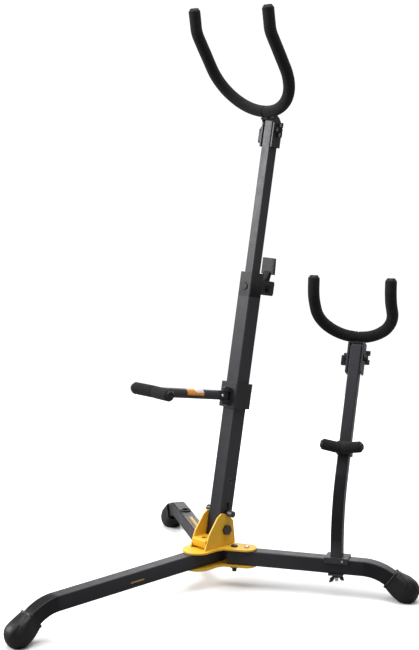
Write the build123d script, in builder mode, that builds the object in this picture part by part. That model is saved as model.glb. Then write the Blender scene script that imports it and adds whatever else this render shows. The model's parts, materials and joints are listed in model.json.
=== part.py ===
from build123d import *
from math import cos, radians, sin, tan
import os

# A two-instrument saxophone stand: three tube legs on a pair of hub plates, a telescoping square post that
# leans back and folds forward, a foam yoke and a swinging foam cradle for the large instrument, and a second,
# smaller stand clamped to one leg for the small instrument. Millimetres, +Z up, floor at Z = 0, front is -Y.

# ---- hub ----
HUB_X = 0.0
HUB_Y = 97.15
PLATE_T = 3.0
LOWER_PLATE_Z = 38.0
UPPER_PLATE_Z = 68.0
LOBE_REACH = 62.0
LOBE_R = 18.0
FRONT_LOBE_REACH = 38.0
FRONT_LOBE_R = 27.0
HUB_R = 31.0
CORNER_R = 14.0

# ---- legs ----
AZ_FRONT = -90.0
AZ_RIGHT = 30.0
AZ_LEFT = 150.0
LEG_W = 25.0
LEG_H = 26.5
LEG_WALL = 1.5
LEG_EDGE_R = 2.5
LEG_Z = 54.5
PIVOT_R = 39.0
BUTTON_R = 62.0
LEG_START = 29.0
FRONT_LEG_START = -31.0
SIDE_BEND = 272.0
FRONT_BEND = 357.5
BEND_RADIUS = 83.0
BEND_ANGLE = 37.0
FOOT_RUN = 43.0
BOOT_W = 33.0
BOOT_H = 34.0
BOOT_START = -3.0
TOE_R = 22.5
TOE_CORNER = 18.0
TOE_RUN = 32.0
SOCKET_R = 7.0
SOCKET_REACH = 225.0

# ---- hinge bracket ----
HINGE_Y = 12.5
HINGE_Z = 100.0
EAR_IN = 16.5
EAR_OUT = 19.5
EAR_REST_R = 25.6
EAR_RISE = 0.2414
HINGE_HEX_R = 9.2
WEB_TOP = 89.0
WEB_FRONT = -36.0
WEB_REAR = -5.6

# ---- main post ----
LEAN = 10.5
POST_W = 30.0
POST_WALL = 1.5
POST_BOTTOM = -22.0
POST_TOP = 418.0
HEAD_TOP = 461.5
HEAD_SPIGOT = 388.0
INNER_W = 20.0
INNER_WALL = 1.2
INNER_BOTTOM = 310.0
INNER_TOP = 733.0
PIN_S = 30.0
PIN_LIFT = 14.0
PIN_R = 4.0
PIN_GRIP = 12.0
ANCHOR_S = 87.0
LUG_W = 15.0
LEVER_W = 28.0
LEVER_S = 436.0

# ---- yokes ----
YOKE_S = 717.0
YOKE_EAR_IN = 12.0
YOKE_EAR_OUT = 15.0
MAIN_DROP = 36.0
MAIN_STEM_TURN = 35.0
ALTO_DROP = 38.0
MAIN_WEB_S = 21.4
ALTO_WEB_S = 24.0
ROD_R = 6.0
ROD_BORE = 4.5
FOAM_R = 10.5
FOAM_BORE = 6.1
MAIN_HALF = 89.3
MAIN_ARM = 150.0
MAIN_TIP = 40.0
MAIN_TILT = 42.0
MAIN_TIP_TURN = 23.0
ALTO_HALF = 69.0
ALTO_ARM = 84.0
ALTO_TIP = 33.5
ALTO_TILT = 65.0
ALTO_TIP_TURN = 43.0
TIP_BEND_R = 45.0
V_OVERRUN = 1.0

# ---- swinging arm and cradle ----
COLLAR_S = 218.0
COLLAR_H = 45.0
ARM_S = 239.0
ARM_PIN_W = -28.0
ARM_ROOT_END = -50.0
ARM_R = 8.5
CRADLE_W = -198.0
CRADLE_HALF = 45.0
CRADLE_SWEEP = 6.0

# ---- small stand on the right leg ----
ALTO_REACH = 225.3
SADDLE_TOP = 71.0
ALTO_CORNER_Z = 156.5
ALTO_TWIST = 2.0
ALTO_LEAN = 27.5
ALTO_BEND_R = 240.0
ALTO_PIVOT_S = 276.2
ALTO_TOP_S = 295.2
REST_S = 106.7
REST_FOAM_R = 10.0
REST_W = -24.0
REST_HALF = 35.0


def at(x, y, z):
    """A point given from the hub's centre line."""
    return Vector(x + HUB_X, y + HUB_Y, z)


def radial(azimuth):
    """Horizontal unit direction of a leg."""
    return Vector(cos(radians(azimuth)), sin(radians(azimuth)), 0)


def leg_side(azimuth, offset=0.0):
    """Upright plane along a leg: x runs out along the leg, y is height, z is across it."""
    out = radial(azimuth)
    return Plane(origin=at(0, 0, 0), x_dir=out, z_dir=(out.Y, -out.X, 0)).offset(offset)


def level(z):
    """Horizontal plane through the hub's centre line."""
    return Plane(origin=at(0, 0, z), x_dir=(1, 0, 0), z_dir=(0, 0, 1))


def level_at(point, z):
    """Horizontal plane with its origin above a point of the hub plan."""
    return Plane(origin=at(point.X, point.Y, z), x_dir=(1, 0, 0), z_dir=(0, 0, 1))


ALONG = Vector(0, sin(radians(LEAN)), cos(radians(LEAN)))
BACK = Vector(0, cos(radians(LEAN)), -sin(radians(LEAN)))
HINGE = at(0, HINGE_Y, HINGE_Z)
SECTION = Plane(origin=HINGE, x_dir=(1, 0, 0), z_dir=ALONG)
SIDE = Plane(origin=HINGE, x_dir=BACK, z_dir=(1, 0, 0))
FRONT = Plane(origin=HINGE, x_dir=(1, 0, 0), z_dir=-BACK)

POST_OUT = radial(AZ_RIGHT - ALTO_TWIST)
POST_BACK = Vector(-POST_OUT.Y, POST_OUT.X, 0)
ALTO_FOOT = radial(AZ_RIGHT) * ALTO_REACH
ALTO_CORNER = at(ALTO_FOOT.X, ALTO_FOOT.Y, ALTO_CORNER_Z)
ALTO_ALONG = POST_BACK * sin(radians(ALTO_LEAN)) + Vector(0, 0, cos(radians(ALTO_LEAN)))
ALTO_SECTION = Plane(origin=ALTO_CORNER, x_dir=POST_OUT, z_dir=ALTO_ALONG)
ALTO_W = ALTO_SECTION.y_dir
ALTO_SIDE = Plane(origin=ALTO_CORNER, x_dir=ALTO_W, z_dir=POST_OUT)
ALTO_FRONT = Plane(origin=ALTO_CORNER, x_dir=POST_OUT, z_dir=-ALTO_W)


def shifted(plane, x, y, z=0.0):
    """The same plane with its origin moved in its own coordinates."""
    return Plane(origin=plane.from_local_coords(Vector(x, y, z)), x_dir=plane.x_dir, z_dir=plane.z_dir)


def save(piece, node):
    """Write one finished piece."""
    piece.part.label = node
    export_step(piece.part, f"parts/{node}.step")


# ---- hub plates and bracket ----

def plate_outline(plane):
    """The three-lobed outline shared by both hub plates."""
    with BuildSketch(plane) as outline:
        Circle(HUB_R)
        for azimuth in (AZ_RIGHT, AZ_LEFT):
            tip = radial(azimuth) * LOBE_REACH
            with BuildSketch(plane, mode=Mode.PRIVATE) as lobe:
                Circle(LOBE_R + 3)
                with Locations((tip.X, tip.Y)):
                    Circle(LOBE_R)
                make_hull()
            add(lobe.sketch_local)
        with BuildSketch(plane, mode=Mode.PRIVATE) as nose:
            Circle(FRONT_LOBE_R)
            with Locations((0, -FRONT_LOBE_REACH)):
                Circle(FRONT_LOBE_R)
            make_hull()
        add(nose.sketch_local)
        waist = [v for v in outline.vertices() if HUB_R - 4 < Vector(v.X - HUB_X, v.Y - HUB_Y, 0).length < HUB_R + 8]
        fillet(waist, CORNER_R)
    return outline


def hub_plate(z, with_buttons):
    """One hub plate, with its pivot holes and, in the upper one, the holes for the snap buttons."""
    with BuildPart() as plate:
        add(plate_outline(level(z)).sketch)
        extrude(amount=PLATE_T)
        for azimuth in (AZ_RIGHT, AZ_LEFT):
            out = radial(azimuth)
            with BuildSketch(level(z)):
                with Locations((out.X * PIVOT_R, out.Y * PIVOT_R)):
                    Circle(4.2)
                if with_buttons:
                    with Locations((out.X * BUTTON_R, out.Y * BUTTON_R)):
                        Circle(4.6)
            extrude(amount=PLATE_T, mode=Mode.SUBTRACT)
        with BuildSketch(level(z)):
            with Locations((0, -22), (0, 4)):
                Circle(3.1)
        extrude(amount=PLATE_T, mode=Mode.SUBTRACT)
    return plate


def ear_outline():
    """Corner points of a bracket ear, in Y and Z; its top is a low cam that the lock pin rides over."""
    top = UPPER_PLATE_Z + PLATE_T
    points = [(-40, top), (34.5, top), (34.5, 77), (30.5, 114)]
    for turn in (-8, 0, 6, 12, 18, 24, 30):
        r = EAR_REST_R + EAR_RISE * max(turn, 0)
        bearing = radians(turn - LEAN)
        points.append((HINGE_Y - r * sin(bearing), HINGE_Z + r * cos(bearing)))
    return points + [(-8, 125), (-28, 99)]


def hinge_bracket():
    """Two ears joined at the front by a folded web with an access hole."""
    ear_plane = Plane(origin=at(0, 0, 0), x_dir=(0, 1, 0), z_dir=(1, 0, 0))
    with BuildPart() as bracket:
        for x in (EAR_IN, -EAR_OUT):
            with BuildSketch(ear_plane.offset(x)):
                Polygon(*ear_outline(), align=None)
                with Locations((HINGE_Y, HINGE_Z)):
                    Circle(4.2, mode=Mode.SUBTRACT)
            extrude(amount=EAR_OUT - EAR_IN)
        with BuildSketch(ear_plane.offset(-EAR_IN)):
            Polygon((WEB_FRONT, 75), (WEB_FRONT + 2.5, 75), (WEB_FRONT + 2.5, WEB_TOP - 2.5),
                    (WEB_REAR, WEB_TOP - 2.5), (WEB_REAR, WEB_TOP), (WEB_FRONT + 2, WEB_TOP),
                    (WEB_FRONT, WEB_TOP - 2), align=None)
        extrude(amount=2 * EAR_IN)
        with BuildSketch(level(WEB_TOP)):
            with Locations((0, -22)):
                Circle(5.5)
        extrude(amount=-4, mode=Mode.SUBTRACT)
    return bracket


# ---- legs and boots ----

def leg_path(azimuth, start, bend):
    """Centre line of a leg: level, then curved down to the foot."""
    with BuildLine(leg_side(azimuth)) as path:
        Line((start, LEG_Z), (bend, LEG_Z))
        arc = JernArc(start=(bend, LEG_Z), tangent=(1, 0), radius=BEND_RADIUS, arc_size=-BEND_ANGLE)
        drop = radians(BEND_ANGLE)
        x = bend + BEND_RADIUS * sin(drop)
        y = LEG_Z - BEND_RADIUS * (1 - cos(drop))
        Line((x, y), (x + FOOT_RUN * cos(drop), y - FOOT_RUN * sin(drop)))
    return path.line


def leg_tube(azimuth, start, bend, holes):
    """A rectangular tube leg with upright round holes given as (reach, radius, goes through the bottom too)."""
    path = leg_path(azimuth, start, bend)
    out = radial(azimuth)
    end = Plane(origin=path @ 0, x_dir=(out.Y, -out.X, 0), z_dir=path % 0)
    with BuildPart() as leg:
        with BuildSketch(end):
            RectangleRounded(LEG_W, LEG_H, LEG_EDGE_R)
            RectangleRounded(LEG_W - 2 * LEG_WALL, LEG_H - 2 * LEG_WALL, LEG_EDGE_R - LEG_WALL / 2, mode=Mode.SUBTRACT)
        sweep(path=path)
        for reach, radius, through in holes:
            depth = LEG_H + 2 if through else LEG_H / 2
            with BuildSketch(level_at(out * reach, LEG_Z + LEG_H / 2 + 1)):
                Circle(radius)
            extrude(amount=-depth, mode=Mode.SUBTRACT)
    return leg


def boot(azimuth, bend):
    """A bulbous rubber boot on the end of a leg: a square cuff, a round toe and a flat sole on the floor."""
    drop = radians(BEND_ANGLE)
    side = leg_side(azimuth)
    along = side.x_dir * cos(drop) - side.y_dir * sin(drop)
    foot = Vector(bend + BEND_RADIUS * sin(drop), LEG_Z - BEND_RADIUS * (1 - cos(drop)), 0)
    end = Plane(origin=side.from_local_coords(foot), x_dir=side.z_dir, z_dir=along)
    toe = end.offset(TOE_RUN)
    with BuildPart() as rubber:
        with BuildSketch(end.offset(BOOT_START)):
            RectangleRounded(BOOT_W, BOOT_H, 6)
        with BuildSketch(toe):
            RectangleRounded(2 * TOE_R, 2 * TOE_R, TOE_CORNER)
        loft()
        with BuildSketch(toe):
            RectangleRounded(2 * TOE_R, 2 * TOE_R, TOE_CORNER)
        extrude(amount=TOE_R)
        nose = rubber.faces().sort_by(Axis(toe.origin, along))[-1]
        fillet(nose.edges(), TOE_CORNER - 1)
        with BuildSketch(end.offset(BOOT_START - 1)):
            Rectangle(LEG_W + 0.2, LEG_H + 0.2)
        extrude(amount=FOOT_RUN + 1 - BOOT_START, mode=Mode.SUBTRACT)
        with BuildSketch(level(0)):
            Rectangle(1200, 1200)
        extrude(amount=-30, mode=Mode.SUBTRACT)
    return rubber


def peg_socket():
    """The round grommet let into the left leg for an instrument peg."""
    foot = radial(AZ_LEFT) * SOCKET_REACH
    top = LEG_Z + LEG_H / 2
    with BuildPart() as socket:
        with BuildSketch(level_at(foot, top)):
            Circle(SOCKET_R + 3.5)
            Circle(SOCKET_R, mode=Mode.SUBTRACT)
        extrude(amount=2.6)
        with BuildSketch(level_at(foot, top)):
            Circle(SOCKET_R + 1.9)
            Circle(SOCKET_R, mode=Mode.SUBTRACT)
        extrude(amount=-LEG_H + LEG_WALL + 2)
        fillet(socket.faces().sort_by(Axis.Z)[-1].outer_wire().edges(), 1.2)
    return socket


# ---- fasteners of the hub ----

def pivot_bolts():
    """The two upright bolts that the side legs turn on: low round heads on the upper plate."""
    with BuildPart() as bolts:
        for azimuth in (AZ_RIGHT, AZ_LEFT):
            foot = radial(azimuth) * PIVOT_R
            with BuildSketch(level_at(foot, UPPER_PLATE_Z + PLATE_T)):
                Circle(6.5)
            extrude(amount=2.6, taper=25)
            with BuildSketch(level_at(foot, UPPER_PLATE_Z + PLATE_T)):
                Circle(4)
            extrude(amount=-45.5)
    return bolts


def pivot_nuts():
    """Hexagon lock nuts under the lower plate."""
    with BuildPart() as nuts:
        for azimuth in (AZ_RIGHT, AZ_LEFT):
            with BuildSketch(level_at(radial(azimuth) * PIVOT_R, LOWER_PLATE_Z)):
                RegularPolygon(7.4, 6)
                Circle(4, mode=Mode.SUBTRACT)
            extrude(amount=-6.5)
    return nuts


def leg_rivets():
    """The two rivets that fix the front leg between the plates."""
    with BuildPart() as rivets:
        for y in (-22, 4):
            with BuildSketch(level_at(Vector(0, y, 0), UPPER_PLATE_Z + PLATE_T)):
                Circle(5)
            extrude(amount=1.8, taper=30)
            with BuildSketch(level_at(Vector(0, y, 0), UPPER_PLATE_Z + PLATE_T)):
                Circle(3)
            extrude(amount=-(UPPER_PLATE_Z - LOWER_PLATE_Z + PLATE_T))
            with BuildSketch(level_at(Vector(0, y, 0), LOWER_PLATE_Z)):
                Circle(5)
            extrude(amount=-1.8, taper=30)
    return rivets


def leg_button(azimuth):
    """A domed steel snap button standing in the upper plate's hole."""
    foot = radial(azimuth) * BUTTON_R
    base = UPPER_PLATE_Z + 0.1
    with BuildPart() as button:
        with BuildSketch(level_at(foot, base)):
            Circle(4.3)
        extrude(amount=PLATE_T + 3.2)
        fillet(button.faces().sort_by(Axis.Z)[-1].edges(), 2.6)
    return button


def hinge_bolt():
    """Cross bolt of the post hinge with its hexagon head on the right."""
    with BuildPart() as bolt:
        with BuildSketch(SIDE.offset(EAR_OUT)):
            RegularPolygon(HINGE_HEX_R, 6)
        extrude(amount=6)
        with BuildSketch(SIDE.offset(EAR_OUT)):
            Circle(4)
        extrude(amount=-2 * EAR_OUT - 8)
    return bolt


def hinge_nut():
    """Hexagon lock nut on the left end of the hinge bolt."""
    with BuildPart() as nut:
        with BuildSketch(SIDE.offset(-EAR_OUT)):
            RegularPolygon(HINGE_HEX_R, 6)
            Circle(4.1, mode=Mode.SUBTRACT)
        extrude(amount=-6)
    return nut


def hinge_washers():
    """Plastic washers between the post and the bracket ears."""
    with BuildPart() as washers:
        for x in (POST_W / 2 + 0.1, -EAR_IN + 0.1):
            with BuildSketch(SIDE.offset(x)):
                Circle(9)
                Circle(4.1, mode=Mode.SUBTRACT)
            extrude(amount=EAR_IN - POST_W / 2 - 0.2)
    return washers


# ---- main post ----

def square_tube(plane, start, end, width, wall, corner):
    """A straight square tube between two distances along a plane's normal."""
    with BuildPart() as tube:
        with BuildSketch(plane.offset(start)):
            RectangleRounded(width, width, corner)
            RectangleRounded(width - 2 * wall, width - 2 * wall, corner - wall / 2, mode=Mode.SUBTRACT)
        extrude(amount=end - start)
    return tube


def lower_post():
    """Outer post tube, slotted for the lock pin, with rounded lower corners."""
    with BuildPart() as post:
        add(square_tube(SECTION, POST_BOTTOM, POST_TOP, POST_W, POST_WALL, 2.5).part)
        with BuildSketch(SIDE.offset(-POST_W / 2 - 1)):
            with Locations((0, POST_BOTTOM)):
                Rectangle(POST_W + 2, 14)
            with BuildSketch(mode=Mode.PRIVATE) as foot:
                with Locations((0, POST_BOTTOM + 10)):
                    RectangleRounded(POST_W, 20, 7)
            add(foot.sketch_local, mode=Mode.SUBTRACT)
        extrude(amount=POST_W + 2, mode=Mode.SUBTRACT)
        with BuildSketch(SIDE.offset(-POST_W / 2 - 1)):
            Circle(4.2)
            with Locations((0, ANCHOR_S)):
                Circle(6.2)
            with Locations((0, PIN_S + PIN_LIFT / 2)):
                SlotCenterToCenter(PIN_LIFT, 2 * PIN_R + 0.5, rotation=90)
        extrude(amount=POST_W + 2, mode=Mode.SUBTRACT)
    return post


def spring_anchor():
    """Hollow cross pin that the lock pin's spring hangs from, recessed in the post's side holes."""
    with BuildPart() as anchor:
        with BuildSketch(shifted(SIDE, 0, ANCHOR_S, -POST_W / 2 + 0.6)):
            Circle(6)
            Circle(2.2, mode=Mode.SUBTRACT)
        extrude(amount=POST_W - 1.2)
    return anchor


def lock_pin():
    """Sliding cross pin with round grips outside the bracket ears."""
    with BuildPart() as pin:
        with BuildSketch(shifted(SIDE, 0, PIN_S, -EAR_OUT - 1.2)):
            Circle(PIN_R)
        extrude(amount=2 * EAR_OUT + 2.4)
        for x in (EAR_OUT + 0.6, -EAR_OUT - 0.6 - PIN_GRIP):
            with BuildSketch(shifted(SIDE, 0, PIN_S, x)):
                Circle(5.8)
            extrude(amount=PIN_GRIP)
    return pin


def clamp_head():
    """Moulded head on the outer tube: guides the inner tube and carries the two lugs of the cam lever."""
    with BuildPart() as head:
        add(square_tube(SECTION, POST_TOP, HEAD_TOP, POST_W, (POST_W - INNER_W) / 2 - 0.2, 2.5).part)
        fit = POST_W - 2 * POST_WALL - 0.2
        add(square_tube(SECTION, HEAD_SPIGOT, POST_TOP, fit, (fit - INNER_W) / 2 - 0.2, 2).part)
        for x in (-LUG_W, LUG_W - 3):
            with BuildSketch(SIDE.offset(x)):
                with Locations((29, LEVER_S + 1)):
                    RectangleRounded(32, 26, 4)
                with Locations((LEVER_W, LEVER_S)):
                    Circle(3.2, mode=Mode.SUBTRACT)
            extrude(amount=3)
        with BuildSketch(SIDE.offset(-2)):
            with Locations((13, (POST_TOP + HEAD_TOP) / 2 + 4)):
                Rectangle(6, HEAD_TOP - POST_TOP)
        extrude(amount=4, mode=Mode.SUBTRACT)
        with BuildSketch(shifted(FRONT, 0, LEVER_S, POST_W / 2)):
            Circle(3.6)
        extrude(amount=-3, mode=Mode.SUBTRACT)
    return head


def head_button():
    """Round cap of the pin that keeps the clamp head in the tube."""
    with BuildPart() as button:
        with BuildSketch(shifted(FRONT, 0, LEVER_S, POST_W / 2)):
            Circle(7)
        extrude(amount=1.8, taper=20)
        with BuildSketch(shifted(FRONT, 0, LEVER_S, POST_W / 2)):
            Circle(3.5)
        extrude(amount=-2.8)
    return button


def cam_lever():
    """Quick-release lever: a cam between the lugs, a neck, and a ribbed upright thumb paddle."""
    with BuildPart() as lever:
        with BuildSketch(shifted(SIDE, LEVER_W, LEVER_S, -11.6)):
            Circle(11.5)
        extrude(amount=23.2)
        with BuildSketch(SIDE.offset(-7)):
            Polygon((26, LEVER_S + 8), (38, LEVER_S + 6), (43, 468), (37.5, 468), align=None)
        extrude(amount=14)
        with BuildSketch(SIDE.offset(-15)):
            Polygon((38, 463), (43, 462), (41, 491), (37.5, 492), align=None)
        extrude(amount=30)
        for s in (468, 474, 480, 486):
            with BuildSketch(shifted(SIDE, 42.2 - (s - 463) * 0.07, s, -13)):
                Circle(1.7)
            extrude(amount=26)
        with BuildSketch(shifted(SIDE, LEVER_W, LEVER_S, -12)):
            Circle(3.2)
        extrude(amount=24, mode=Mode.SUBTRACT)
    return lever


def lever_bolt():
    """Bolt through the lugs and the cam, with a domed nut on the right."""
    with BuildPart() as bolt:
        with BuildSketch(shifted(SIDE, LEVER_W, LEVER_S, -LUG_W - 3.5)):
            Circle(5.5)
        extrude(amount=3.5)
        with BuildSketch(shifted(SIDE, LEVER_W, LEVER_S, -LUG_W)):
            Circle(3)
        extrude(amount=2 * LUG_W + 7)
        with BuildSketch(shifted(SIDE, LEVER_W, LEVER_S, LUG_W)):
            RegularPolygon(6.2, 6)
        extrude(amount=5)
    return bolt


def inner_post():
    """Inner post tube with the cross hole for the yoke's pivot."""
    with BuildPart() as post:
        add(square_tube(SECTION, INNER_BOTTOM, INNER_TOP, INNER_W, INNER_WALL, 2).part)
        with BuildSketch(shifted(SIDE, 0, YOKE_S, -INNER_W)):
            Circle(3.2)
        extrude(amount=2 * INNER_W, mode=Mode.SUBTRACT)
    return post


def inner_guide():
    """Slide shoe on the inner tube's lower end."""
    with BuildPart() as guide:
        with BuildSketch(SECTION.offset(INNER_BOTTOM - 8)):
            RectangleRounded(26.4, 26.4, 2)
        extrude(amount=8)
        with BuildSketch(SECTION.offset(INNER_BOTTOM)):
            RectangleRounded(17.4, 17.4, 1.8)
        extrude(amount=16)
    return guide


def tube_cap(plane, top):
    """Plug that closes a 20 mm square tube."""
    with BuildPart() as cap:
        with BuildSketch(plane.offset(top)):
            RectangleRounded(INNER_W, INNER_W, 2)
        extrude(amount=2.2, taper=20)
        with BuildSketch(plane.offset(top)):
            RectangleRounded(17.4, 17.4, 1.8)
        extrude(amount=-12)
    return cap


# ---- yokes ----

def yoke_planes(section, pivot_s, bracket_turn, tilt, drop):
    """Plane of a yoke's U, its origin at the bottom of the U: x across, y up the arms."""
    pivot = section.from_local_coords(Vector(0, 0, pivot_s))
    toward = section.z_dir * cos(radians(bracket_turn)) - section.y_dir * sin(radians(bracket_turn))
    up = section.z_dir * cos(radians(tilt)) - section.y_dir * sin(radians(tilt))
    return Plane(origin=pivot + toward * drop, x_dir=section.x_dir, z_dir=section.x_dir.cross(up))


def half_yoke_path(plane, side, half, arm, tip, turn):
    """Centre line of half of a yoke, from the bottom of the U to one tip, which turns back toward upright."""
    def place(x, y, z=0.0):
        return plane.from_local_coords(Vector(side * x, y, z))

    lean = radians(turn)
    reach = TIP_BEND_R * tan(lean / 2)
    end_y = arm + TIP_BEND_R * sin(lean)
    end_z = -TIP_BEND_R * (1 - cos(lean))
    with BuildLine() as path:
        ThreePointArc(place(0, 0), place(half * sin(radians(45)), half * (1 - cos(radians(45)))), place(half, half))
        Line(place(half, half), place(half, arm))
        ThreePointArc(place(half, arm),
                      place(half, arm + TIP_BEND_R * sin(lean / 2), -TIP_BEND_R * (1 - cos(lean / 2))),
                      place(half, end_y, end_z))
        Line(place(half, end_y, end_z),
             place(half, end_y + (tip - reach) * cos(lean), end_z - (tip - reach) * sin(lean)))
    return path.line


def ring_sweep(path, outer, bore, notch=None):
    """A round tube along a path; notch is a solid cut away from it, or None."""
    with BuildPart() as tube:
        with BuildSketch(Plane(origin=path @ 0, z_dir=path % 0)):
            Circle(outer)
            Circle(bore, mode=Mode.SUBTRACT)
        sweep(path=path)
        if notch is not None:
            add(notch, mode=Mode.SUBTRACT)
    return tube


def stem_solid(start, end, radius):
    """A plain round bar between two points."""
    with BuildPart() as stem:
        with BuildSketch(Plane(origin=start, z_dir=end - start)):
            Circle(radius)
        extrude(amount=(end - start).length)
    return stem.part


def drilled_bar(path, radius, bore, depth):
    """Half of a V rod: a bar that starts just past the middle, its end drilled for a plug."""
    way = path % 1
    end = path @ 1
    with BuildPart() as bar:
        add(stem_solid(path @ 0 - way * V_OVERRUN, end, radius))
        add(stem_solid(end - way * depth, end + way, bore), mode=Mode.SUBTRACT)
    return bar.part


def bent_rod(paths, stem):
    """The bent steel tube inside a yoke's foam, open where its stem is welded in."""
    with BuildPart() as rod:
        for path in paths:
            add(ring_sweep(path, ROD_R, ROD_BORE).part)
        add(stem, mode=Mode.SUBTRACT)
    return rod


def tip_plugs(paths, head_r):
    """Domed plugs in the open ends of a bent tube."""
    with BuildPart() as plugs:
        for path in paths:
            tip = Plane(origin=path @ 1, z_dir=path % 1)
            with BuildSketch(tip):
                Circle(head_r)
            extrude(amount=3.4, taper=35)
            with BuildSketch(tip):
                Circle(ROD_BORE - 0.1)
            extrude(amount=-9)
    return plugs


def main_bracket(side, section, pivot_s, stem_to):
    """Bracket of the main yoke: two ears beside the tube, a web over its end and a stem up to the rod."""
    turn = radians(MAIN_STEM_TURN)
    out = section.z_dir * cos(turn) - section.y_dir * sin(turn)
    with BuildPart() as bracket:
        for x in (YOKE_EAR_IN, -YOKE_EAR_OUT):
            with BuildSketch(shifted(side, 0, pivot_s, x)):
                Polygon((-10.5, -31), (11, -31), (11, -12), (9.8, 4), (7, 13.5), (1.5, 21), (-4, 24.5),
                        (-8.4, 25.8), (-13.8, 19), (-10.5, 12), align=None)
                Circle(3.2, mode=Mode.SUBTRACT)
            extrude(amount=YOKE_EAR_OUT - YOKE_EAR_IN)
        centre = section.from_local_coords(Vector(0, 0, pivot_s)) + out * MAIN_WEB_S
        web = Plane(origin=centre, x_dir=section.x_dir, z_dir=out)
        with BuildSketch(shifted(web, 0, 4, 0)):
            Rectangle(2 * YOKE_EAR_OUT, 13)
        extrude(amount=3)
        add(stem_solid(centre + out, stem_to, 5))
    return bracket


def alto_bracket(side, section, pivot_s, stem_to):
    """Bracket of the small yoke: straight ears, a web and a stem up to the rod."""
    with BuildPart() as bracket:
        for x in (YOKE_EAR_IN, -YOKE_EAR_OUT):
            with BuildSketch(shifted(side, 0, pivot_s, x)):
                with Locations((0, -2)):
                    RectangleRounded(21, 58, 3)
                Circle(3.2, mode=Mode.SUBTRACT)
            extrude(amount=YOKE_EAR_OUT - YOKE_EAR_IN)
        with BuildSketch(section.offset(pivot_s + ALTO_WEB_S)):
            Rectangle(2 * YOKE_EAR_OUT, 20)
        extrude(amount=3)
        add(stem_solid(section.from_local_coords(Vector(0, 0, pivot_s + ALTO_WEB_S + 1)), stem_to, 5))
    return bracket


def wing_nut(plane, x_face, outward):
    """A wing nut on a cross bolt: a round hub and two short upright wings."""
    face = plane.offset(x_face)
    with BuildPart() as nut:
        with BuildSketch(face):
            Circle(6.5)
            Circle(3.1, mode=Mode.SUBTRACT)
        extrude(amount=6 * outward)
        for tip in (-1, 1):
            with BuildSketch(face.offset(2 * outward)):
                with Locations((0, tip * 8.5)):
                    RectangleRounded(4.5, 9, 1.5)
            extrude(amount=8 * outward)
    return nut


def lever_screw(plane, x_face, arm_length):
    """Cross bolt whose head is a lever pointing down, outside the left ear."""
    face = plane.offset(-x_face)
    with BuildPart() as screw:
        with BuildSketch(face):
            Circle(3)
        extrude(amount=2 * x_face + 6.4)
        with BuildSketch(face):
            Circle(7)
        extrude(amount=-6)
        with BuildSketch(face.offset(-3)):
            with Locations((0, -arm_length / 2)):
                RectangleRounded(10, arm_length + 4, 3)
        extrude(amount=-7)
    return screw


# ---- swinging arm ----

def arm_collar():
    """Sliding collar on the outer tube with two lugs for the arm's pin."""
    with BuildPart() as collar:
        with BuildSketch(shifted(SECTION, 0, -1, COLLAR_S)):
            RectangleRounded(42, 40, 4)
            with Locations((0, 1)):
                RectangleRounded(POST_W + 0.6, POST_W + 0.6, 2.2, mode=Mode.SUBTRACT)
        extrude(amount=COLLAR_H)
        for s in (ARM_S - 13.5, ARM_S + 7.5):
            with BuildSketch(SECTION.offset(s)):
                with Locations((0, -25)):
                    Rectangle(16, 9)
                with Locations((0, ARM_PIN_W)):
                    Circle(8)
                    Circle(3.1, mode=Mode.SUBTRACT)
            extrude(amount=6)
    return collar


def arm_pin():
    """Upright pin of the swinging arm, with a head above and below the lugs."""
    with BuildPart() as pin:
        with BuildSketch(shifted(SECTION, 0, ARM_PIN_W, ARM_S - 13.5)):
            Circle(3)
        extrude(amount=27)
        for s, height in ((ARM_S + 13.5, 2.4), (ARM_S - 13.5, -2.4)):
            with BuildSketch(shifted(SECTION, 0, ARM_PIN_W, s)):
                Circle(5)
            extrude(amount=height, taper=15)
    return pin


def arm_root():
    """Eye on the arm's pin and the round socket that holds the arm tube."""
    with BuildPart() as root:
        with BuildSketch(SECTION.offset(ARM_S - 7.2)):
            with Locations((0, ARM_PIN_W)):
                Circle(6.2)
            with Locations((0, ARM_PIN_W - 6)):
                Rectangle(12, 12)
        extrude(amount=14.4)
        with BuildSketch(shifted(FRONT, 0, ARM_S, -ARM_PIN_W + 9)):
            Circle(ARM_R)
        extrude(amount=-ARM_ROOT_END + ARM_PIN_W - 9)
        with BuildSketch(shifted(FRONT, 0, ARM_S, -ARM_ROOT_END)):
            Circle(ARM_R - 1.6)
        extrude(amount=14)
        with BuildSketch(shifted(SECTION, 0, ARM_PIN_W, ARM_S - 10)):
            Circle(3.15)
        extrude(amount=20, mode=Mode.SUBTRACT)
        with BuildSketch(shifted(SIDE, ARM_PIN_W - 14, ARM_S, ARM_R - 0.5)):
            Circle(2.65)
        extrude(amount=2, mode=Mode.SUBTRACT)
    return root


def arm_button():
    """Small rivet head on the right of the arm's root."""
    with BuildPart() as button:
        with BuildSketch(shifted(SIDE, ARM_PIN_W - 14, ARM_S, ARM_R - 0.4)):
            Circle(2.6)
        extrude(amount=1.8, taper=20)
    return button


def arm_tube():
    """Round arm tube, from its root to just behind the cradle's foam."""
    with BuildPart() as tube:
        with BuildSketch(shifted(FRONT, 0, ARM_S, -ARM_ROOT_END)):
            Circle(ARM_R)
            Circle(ARM_R - 1.5, mode=Mode.SUBTRACT)
        extrude(amount=-CRADLE_W + ARM_ROOT_END - FOAM_R - 1)
    return tube


def cradle_path(side):
    """Straight centre line of half of the cradle bar, swept forward."""
    start = SECTION.from_local_coords(Vector(0, CRADLE_W, ARM_S))
    end = SECTION.from_local_coords(Vector(side * CRADLE_HALF, CRADLE_W - CRADLE_SWEEP, ARM_S))
    with BuildLine() as path:
        Line(start, end)
    return path.line


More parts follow.
